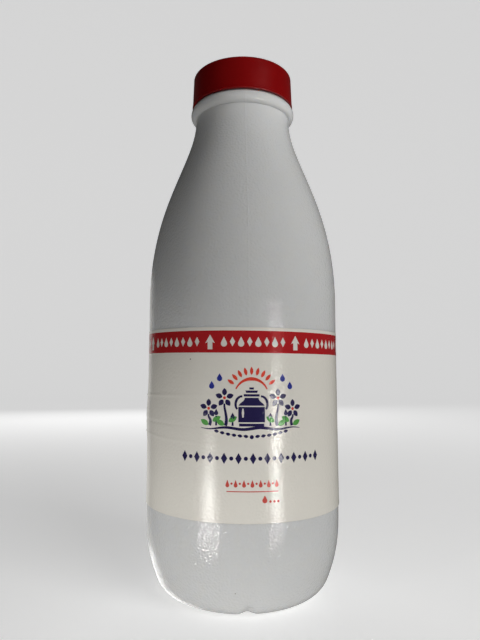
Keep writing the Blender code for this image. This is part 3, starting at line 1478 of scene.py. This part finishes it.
@dataclass(frozen=True)
class Emblem:
    """A churn in a meadow under a rising sun, in millimetres about its own middle.

    The churn's ring is measured from its body's foot, and its rim, lid and knob from its neck,
    each one from its lower to its upper edge. The ends of the sun's rim and of its fan of rays are
    in degrees, and so is the rays' pitch.
    """

    place: Point = (3.4, 83.5)
    repeat_pitch: float = -88.4
    half_width: float = 20.2
    ground: float = -9.4
    churn_rise: float = 2.4
    churn_width: float = 10.4
    shoulder: float = -1.2
    neck_width: float = 5.4
    neck: float = 2.4
    ring: Point = (-1.6, -0.5)
    rim: Point = (0.5, 1.4)
    lid: Point = (1.9, 2.8)
    knob: Point = (3.2, 4.0)
    flowers: tuple[Point, ...] = ((10.6, 2.3), (17.0, -1.9))
    buds: tuple[Point, ...] = ((13.9, -3.2), (7.4, -4.6))
    drops: tuple[Point, ...] = ((12.6, 10.2), (15.8, 7.2))
    petals: int = 5
    swag_petals: int = 6
    swag_pitch: float = 2.3
    swag_drop: float = 3.2
    swag_rise: float = 1.9
    sun_centre: Point = (0.0, 3.0)
    sun_radius: float = 6.7
    sun_ends: Point = (24, 156)
    ray_start: float = 8.2
    ray_length: float = 3.2
    ray_ends: tuple[int, int] = (34, 146)
    ray_pitch: int = 14

    def churn(self, art: Artwork) -> None:
        """Draw the churn: body, ring under it, rim, lid, knob and handles.

        Args:
            art: the artwork to draw on.
        """
        wide, narrow = self.churn_width / 2, self.neck_width / 2
        foot = self.ground + self.churn_rise
        shoulder = bezier(((wide, self.shoulder), (wide, self.shoulder + 1.7),
                           (narrow, self.neck - 1.7), (narrow, self.neck)), 6)
        art.add([(-wide, foot), (wide, foot), *shoulder, *[(-x, y) for x, y in shoulder[::-1]]])
        low, high = (foot + edge for edge in self.ring)
        art.add(box_shape(-wide + 0.3, low, wide - 0.3, high))
        low, high = (self.neck + edge for edge in self.rim)
        art.add(box_shape(-narrow - 0.4, low, narrow + 0.4, high))
        low, high = (self.neck + edge for edge in self.lid)
        art.add([(-2.1, low), (2.1, low), (2.5, high), (-2.5, high)])
        low, high = (self.neck + edge for edge in self.knob)
        art.add(box_shape(-0.9, low, 0.9, high))
        for side in (-1, 1):
            handle = bezier(((wide + 0.4, self.shoulder - 0.8), (wide + 1.8, self.shoulder + 0.6),
                             (wide + 0.9, self.neck + 0.6), (narrow + 0.9, self.neck + 0.6)), 8)
            art.stroke([(side * x, y) for x, y in handle], (0.8, 1.0, 0.8))

    def gleam(self) -> Artwork:
        """Draw the bright stripe and the bright band on the churn.

        Returns:
            The artwork.
        """
        left = -self.churn_width / 2
        art = Artwork()
        art.stroke(line((left + 1.8, self.ground + 4.2), (left + 1.8, self.shoulder - 0.6), 6),
                   (0.5, 0.9, 0.5))
        art.add(box_shape(left, self.shoulder + 0.1, -left, self.shoulder + 0.55))
        return art

    def flower(self, art: Artwork, side: int, place: Point) -> None:
        """Draw a stem with an open flower.

        Args:
            art: the artwork to draw on.
            side: 1 on the right of the churn, -1 on its left.
            place: the flower's middle on the right side.
        """
        x, top = side * place[0], place[1]
        art.stroke(bezier(((x - side * 0.4, self.ground + 1.0), (x - side * 1.6, self.ground + 4),
                           (x + side * 0.4, top - 4), (x, top - 2.2)), 10), (1.3, 1.0, 0.7))
        for number in range(self.petals):
            turn = 90 + 360 / self.petals * number
            angle = math.radians(turn)
            art.add(petal(2.9, 2.1), (x + 0.85 * math.cos(angle), top + 0.85 * math.sin(angle)),
                    turn=turn)

    def navy(self) -> Artwork:
        """Draw the churn, the flowers and buds, the ground and the swag below it.

        Returns:
            The artwork.
        """
        art = Artwork()
        self.churn(art)
        for side in (-1, 1):
            for place in self.flowers:
                self.flower(art, side, place)
            for along, top in self.buds:
                art.stroke(line((side * along, self.ground + 1.0), (side * along, top - 1.5), 5),
                           (0.8, 0.6))
                art.add(drop(2.6, 1.7), (side * along, top))
        reach = self.half_width
        wave = [(x, self.ground + 0.35 * math.sin(x / reach * 3 * math.pi))
                for x in [reach * (step / 20 - 1) for step in range(41)]]
        art.stroke(wave, (0.2, 1.0, 1.2, 1.0, 0.2))
        for number in range(-self.swag_petals, self.swag_petals + 1):
            x = self.swag_pitch * number
            height = self.ground - self.swag_drop + (x / 14) ** 2 * self.swag_rise
            if number:
                side = math.copysign(1.0, number)
                art.add(petal(2.0, 1.3), (x - side, height), (side * MM, MM), turn=side * 12)
            else:
                art.add(disc(0.8), (0.0, height))
        return art

    def green(self) -> Artwork:
        """Draw the leaves, a pair on each flower's stem.

        Each leaf has a way from the stem, a turn in degrees and a rise above the ground.

        Returns:
            The artwork.
        """
        pair = ((1, 30, 1.2), (-1, -30, 2.6))
        art = Artwork()
        for side in (-1, 1):
            for along, _ in self.flowers:
                for way, turn, rise in pair:
                    place = (side * (along - 0.8 + way * 0.8), self.ground + rise)
                    art.add(petal(3.8, 2.2), place, (side * way * MM, MM), turn=side * turn)
        return art

    def sun(self) -> Artwork:
        """Draw the sun's rim and rays, and the hearts of the flowers.

        Returns:
            The artwork.
        """
        art = Artwork()
        rim = arc(self.sun_centre, (self.sun_radius, self.sun_radius), *self.sun_ends, 24)
        art.stroke(rim, (0.5, 1.4, 0.5))
        first, last = self.ray_ends
        for turn in range(first, last + 1, self.ray_pitch):
            angle = math.radians(turn)
            art.add(petal(self.ray_length, 1.4),
                    (self.sun_centre[0] + self.ray_start * math.cos(angle),
                     self.sun_centre[1] + self.ray_start * math.sin(angle)), turn=turn)
        for side in (-1, 1):
            for along, top in self.flowers:
                art.add(disc(0.6, 10), (side * along, top))
        return art

    def rain(self) -> Artwork:
        """Draw the blue drops beside the sun.

        Returns:
            The artwork.
        """
        art = Artwork()
        for side in (-1, 1):
            for along, up in self.drops:
                art.add(drop(3.1, 2.2), (side * along, up))
        return art

    def print(self, press: Press) -> None:
        """Print the emblem on the front and again on the left side.

        Args:
            press: what prints on the sleeve.
        """
        row = Row(2, self.repeat_pitch, *self.place)
        press.run("emblem_churn", self.navy(), Ink.NAVY, 1, row)
        press.run("emblem_gleam", self.gleam(), Ink.WHITE, 2, row)
        press.run("emblem_leaves", self.green(), Ink.GREEN, 1, row)
        press.run("emblem_sun", self.sun(), Ink.ORANGE, 1, row)
        press.run("emblem_drops", self.rain(), Ink.BLUE, 1, row)


@dataclass(frozen=True)
class SmallPrint:
    """The lines of small ornament below the emblem and the ruled panel, in millimetres.

    A row's place is its middle. The parts of a line of the panel are measured from the line's top,
    each one from its lower to its upper edge.
    """

    navy_row: Point = (3.9, 62.7)
    navy_marks: int = 21
    navy_pitch: float = 2.8
    red_row: Point = (3.6, 53.3)
    red_marks: int = 13
    red_pitch: float = 1.6
    rule: Point = (3.8, 50.3)
    rule_length: float = 20.2
    drop_place: Point = (8.4, 47.4)
    dots: int = 3
    panel_left: float = 76.0
    panel_width: float = 38.0
    panel_top: float = 97.0
    panel_head: float = 2.4
    panel_lines: int = 10
    first_line: float = 4.4
    line_pitch: float = 5.0
    line_bar: Point = (-2.3, -1.1)
    line_rule: Point = (-3.4, -3.15)

    def red(self) -> Artwork:
        """Draw the row of small drops, the rule, and the drop with its dots.

        Returns:
            The artwork.
        """
        art = Artwork()
        for number in range(self.red_marks):
            along = self.red_row[0] + (number - self.red_marks // 2) * self.red_pitch
            mark = drop(2.9, 1.5) if number % 2 == 0 else disc(0.45, 10)
            art.add(mark, (along, self.red_row[1]))
        half = self.rule_length / 2
        art.stroke(line((self.rule[0] - half, self.rule[1]), (self.rule[0] + half, self.rule[1]), 16),
                   (0.36, 0.4, 0.36))
        art.add(drop(3.0, 2.0), self.drop_place)
        for number in range(self.dots):
            art.add(disc(0.5, 10), (self.drop_place[0] + 2.2 + 1.6 * number,
                                    self.drop_place[1] - 0.9))
        return art

    def panel(self) -> Artwork:
        """Draw the ruled panel of plain bars on the right side.

        Returns:
            The artwork.
        """
        art = Artwork()
        left, right = self.panel_left, self.panel_left + self.panel_width
        art.add(box_shape(left, self.panel_top - self.panel_head, right, self.panel_top))
        for number in range(self.panel_lines):
            top = self.panel_top - self.first_line - number * self.line_pitch
            low, high = (top + edge for edge in self.line_rule)
            art.add(box_shape(left, low, right, high))
            low, high = (top + edge for edge in self.line_bar)
            long_bar, short_bar = 12 + number * 7 % 5 * 2, 4 + number * 3 % 4
            art.add(box_shape(left + 0.5, low, left + long_bar, high))
            art.add(box_shape(right - short_bar, low, right - 0.5, high))
        return art

    def print(self, press: Press) -> None:
        """Print the lines and the panel.

        Args:
            press: what prints on the sleeve.
        """
        row = alternating(diamond(4.3, 2.5), disc(0.8), self.navy_marks, self.navy_pitch)
        press.run("navy_line", row, Ink.NAVY, 1, Row(1, 0.0, *self.navy_row))
        press.run("red_line", self.red(), Ink.CORAL)
        press.run("side_panel", self.panel(), Ink.NAVY)


class LampKind(Enum):
    """Kinds of studio lamp."""

    SOFTBOX = "AREA"
    BEAM = "SPOT"


@dataclass(frozen=True)
class Lamp:
    """A studio lamp that lights but isn't seen, in metres and watts.

    A softbox's size is its width and height. A beam's is its bulb's radius and its cone's angle
    in degrees.
    """

    name: str
    kind: LampKind
    place: Point3
    aim: Point3
    size: Point
    power: float
    colour: Point3 = (1.0, 1.0, 1.0)

    def build(self) -> None:
        """Hang the lamp."""
        light = bpy.data.lights.new(self.name, self.kind.value)
        if self.kind is LampKind.SOFTBOX:
            light.shape = "RECTANGLE"
            light.size, light.size_y = self.size
        else:
            light.shadow_soft_size = self.size[0]
            light.spot_size = math.radians(self.size[1])
            light.spot_blend = 1.0
        light.energy = self.power
        light.color = self.colour
        lamp = bpy.data.objects.new(self.name, light)
        bpy.context.scene.collection.objects.link(lamp)
        lamp.location = self.place
        way = Vector(self.aim) - Vector(self.place)
        lamp.rotation_euler = way.to_track_quat("-Z", "Y").to_euler()
        lamp.visible_glossy = False
        lamp.visible_camera = False


@dataclass(frozen=True)
class GlintCard:
    """A glowing card that shows only as a streak on glossy surfaces.

    Its azimuth is its direction from the bottle in degrees, 0 in front and 90 on the right, and
    its other sizes are in metres. A grid on it keeps its light to a strip this far to both sides of
    the bottle's axis, and flags keep it between two heights at the axis. From anywhere else the
    card can be seen through.
    """

    name: str
    azimuth: float
    low: float
    high: float
    width: float
    strength: float
    distance: float = 0.9
    grid: float = 1.0
    flags: Point = (-1.0, 0.17)
    flag_fade: float = 20 * MM
    grid_fade: float = 1.5

    def through_grid(self, graph: Graph) -> Socket:
        """Work out which rays the grid and the flags let pass to the bottle.

        Args:
            graph: the card's material.

        Returns:
            1 for a ray that passes, otherwise 0.
        """
        geometry = graph.add("ShaderNodeNewGeometry").outputs
        x, y, z = graph.axes(geometry["Position"])
        way_x, way_y, way_z = graph.axes(geometry["Incoming"])
        turn = graph.math("SUBTRACT", graph.product(x, way_y), graph.product(y, way_x))
        towards = graph.total(graph.product(x, way_x), graph.product(y, way_y))
        level = graph.total(graph.product(way_x, way_x), graph.product(way_y, way_y))
        aside = graph.math("ABSOLUTE", graph.math("DIVIDE", turn, graph.math("SQRT", level)))
        rise = graph.product(graph.math("DIVIDE", towards, level), way_z)
        height = graph.math("SUBTRACT", z, rise)
        low, high = self.flags
        return graph.product(graph.ramp(aside, self.grid * self.grid_fade, self.grid),
                             graph.ramp(height, low - self.flag_fade, low),
                             graph.ramp(height, high + self.flag_fade, high))

    def build(self) -> None:
        """Hang the card."""
        angle = math.radians(self.azimuth)
        middle = Vector((math.sin(angle), -math.cos(angle), 0.0)) * self.distance
        side = Vector((math.cos(angle), math.sin(angle), 0.0)) * self.width / 2
        rise = Vector((0.0, 0.0, 1.0))
        points = [middle - side + rise * self.low, middle + side + rise * self.low,
                  middle + side + rise * self.high, middle - side + rise * self.high]
        mesh = bpy.data.meshes.new(self.name)
        mesh.from_pydata(points, [], [(0, 1, 2, 3)])
        card = new_piece(self.name, mesh)
        paint = Paint(self.name, {"Base Color": (0.0, 0.0, 0.0, 1.0),
                                  "Emission Color": (1.0, 0.99, 0.96, 1.0),
                                  "Emission Strength": self.strength})
        paint.graph.feed(paint.shader.inputs["Alpha"], self.through_grid(paint.graph))
        paint.material.cycles.emission_sampling = "NONE"
        mesh.materials.append(paint.material)
        card.visible_camera = False
        card.visible_diffuse = False
        card.visible_shadow = False
        card.visible_transmission = False


@dataclass
class Studio:
    """The pale floor and wall round the bottle, the lights and the camera.

    The floor's own glow goes from near to far over a stretch of distances from the bottle. The air
    is dim, but in reflections it brightens towards the far side, between two shares of straight
    ahead.
    """

    near_floor: float = 0.5
    floor_radius: float = 1.5
    wall_curve: float = 0.9
    wall_top: float = 3.0
    near_glow: float = 0.42
    far_glow: float = 0.64
    glow_stretch: Point = (0.15, 1.2)
    rim_glow: float = 0.6
    rim_stretch: Point = (0.1, 0.9)
    dim: float = 0.02
    camera_place: Point3 = (-1.135 * MM, -261.7 * MM, 97.64 * MM)
    camera_pitch: float = math.radians(4.83)
    lens: float = 31.5
    lamps: tuple[Lamp, ...] = (
        Lamp("key_softbox", LampKind.SOFTBOX, (0.50, -0.55, 0.45), (0.0, 0.0, 0.15), (0.5, 0.35), 3.05),
        Lamp("neck_beam", LampKind.BEAM, (0.56, -0.38, 0.30), (0.0, 0.0, 0.20), (0.05, 14.0), 4.6),
        Lamp("left_beam", LampKind.BEAM, (-0.55, -0.45, 0.10), (0.0, 0.0, 0.02), (0.05, 16.0), 3.15),
        Lamp("table_beam", LampKind.BEAM, (-0.60, -0.35, 0.03), (0.0, 0.0, 0.03), (0.05, 13.0), 4.7),
        Lamp("rear_right_softbox", LampKind.SOFTBOX, (0.69, 0.40, 0.10), (0.0, 0.0, 0.12),
             (0.35, 0.35), 0.45),
        Lamp("rear_left_beam", LampKind.BEAM, (-0.57, 0.40, 0.22), (0.0, 0.0, 0.17), (0.05, 18.0),
             1.6),
        Lamp("back_softbox", LampKind.SOFTBOX, (-0.20, 0.90, 0.50), (0.0, 0.0, 0.12), (0.8, 0.6), 2.2),
        Lamp("low_beam", LampKind.BEAM, (0.05, -0.70, 0.03), (0.0, 0.0, 0.0), (0.05, 10.0), 4.2))
    glints: tuple[GlintCard, ...] = (
        GlintCard("left_glint", -36.2, -0.10, 0.003, 0.036, 33.0, 0.35, 22 * MM),
        GlintCard("right_glint", 36.3, -0.050, 0.085, 0.018, 47.0, 0.35, 22 * MM),
        GlintCard("collar_glint", 37.0, -0.06, 0.05, 0.06, 45.0, 0.33, 22 * MM, (0.20, 1.0)),
        GlintCard("left_rim_card", -155.0, -0.30, 0.30, 0.45, 0.7),
        GlintCard("left_heel_card", -155.0, -0.80, -0.30, 0.45, 2.0))

    def air(self) -> bpy.types.World:
        """Make the dim world whose far side shows bright in grazing reflections.

        Returns:
            The world.
        """
        world = bpy.data.worlds.new("studio_air")
        world.use_nodes = True
        graph = Graph(world.node_tree)
        way = graph.add("ShaderNodeTexCoord").outputs["Generated"]
        _, ahead, _ = graph.axes(way)
        glossy = graph.add("ShaderNodeLightPath").outputs["Is Glossy Ray"]
        rim = graph.product(graph.ramp(ahead, *self.rim_stretch), glossy, self.rim_glow)
        background = world.node_tree.nodes["Background"]
        graph.feed(background.inputs["Strength"], graph.math("ADD", rim, self.dim))
        return world

    def backdrop(self, shop: Workshop) -> None:
        """Build the floor and the round wall that it curves up into.

        Args:
            shop: the shape trees.
        """
        paint = Paint("studio_paper", {"Roughness": 0.9, "Specular IOR Level": 0.2,
                                       "Emission Strength": 1.0})
        paint.material.cycles.emission_sampling = "NONE"
        graph = paint.graph
        place = graph.add("ShaderNodeTexCoord").outputs["Object"]
        cloud = graph.noise(place, 3.0)
        paint.colour(paint.mix(cloud, (0.80, 0.80, 0.795), (0.83, 0.83, 0.825)))
        reach = graph.add("ShaderNodeVectorMath", {0: place}, operation="LENGTH").outputs["Value"]
        far = graph.ramp(reach, *self.glow_stretch)
        near_glow, far_glow = (self.near_glow,) * 3, (self.far_glow,) * 3
        graph.feed(paint.shader.inputs["Emission Color"], paint.mix(far, near_glow, far_glow))
        curve = arc((self.floor_radius, self.wall_curve), (self.wall_curve, self.wall_curve),
                    -90, 0, 24)
        profiles = {"studio_floor": line((0.0, 0.0), (self.near_floor, 0.0), 4),
                    "studio_wall": [(self.near_floor, 0.0), *curve,
                                    (self.floor_radius + self.wall_curve, self.wall_top)]}
        for name, profile in profiles.items():
            piece = profile_piece(name, profile, closed=False)
            shop.turned_shell.apply(piece, Columns=128, Crowding=0.0, Turn=0.0,
                                    Material=paint.material)
            piece.data.shade_smooth()
            piece.visible_glossy = False
            piece.visible_diffuse = name == "studio_floor"

    def build(self, shop: Workshop) -> None:
        """Set up the room, the lights and the camera.

        Args:
            shop: the shape trees.
        """
        scene = bpy.context.scene
        scene.view_settings.view_transform = "Standard"
        scene.world = self.air()
        self.backdrop(shop)
        for fitting in (*self.lamps, *self.glints):
            fitting.build()
        lens = bpy.data.cameras.new("camera")
        lens.lens = self.lens
        lens.sensor_width = 36.0
        camera = bpy.data.objects.new("camera", lens)
        scene.collection.objects.link(camera)
        camera.location = self.camera_place
        camera.rotation_euler = (math.pi / 2 + self.camera_pitch, 0.0, 0.0)
        scene.camera = camera
        LOG.info("studio: %d lamps, camera %.0f mm in front of the axis", len(self.lamps),
                 -self.camera_place[1] / MM)


def corners(box: tuple[Vector, Vector]) -> list[list[float]]:
    """Return a box as plain lists of numbers."""
    return [list(box[0]), list(box[1])]


def main() -> None:
    """Build every piece in order and report it."""
    logging.basicConfig(level=logging.INFO, format="%(name)s: %(message)s")
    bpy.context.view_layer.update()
    shop = Workshop()
    groups = ShaderGroups()
    BottleShell().build(shop, MilkyPlastic().make(groups))
    ScrewCap().build(shop, RedPlastic().make(groups))
    bare_film = FilmFinish("printed_film", (0.80, 0.765, 0.69), (0.77, 0.74, 0.67),
                           speck_place=(-21.0 * MM, -37.7 * MM, 100.9 * MM))
    sleeve = Sleeve()
    film = sleeve.build(shop, bare_film.make(groups))
    press = Press(shop, sleeve, film, {ink: ink.finish().make(groups) for ink in Ink})
    for artwork in (Band(), Emblem(), SmallPrint()):
        artwork.print(press)
    Studio().build(shop)


if __name__ == "__main__":
    main()
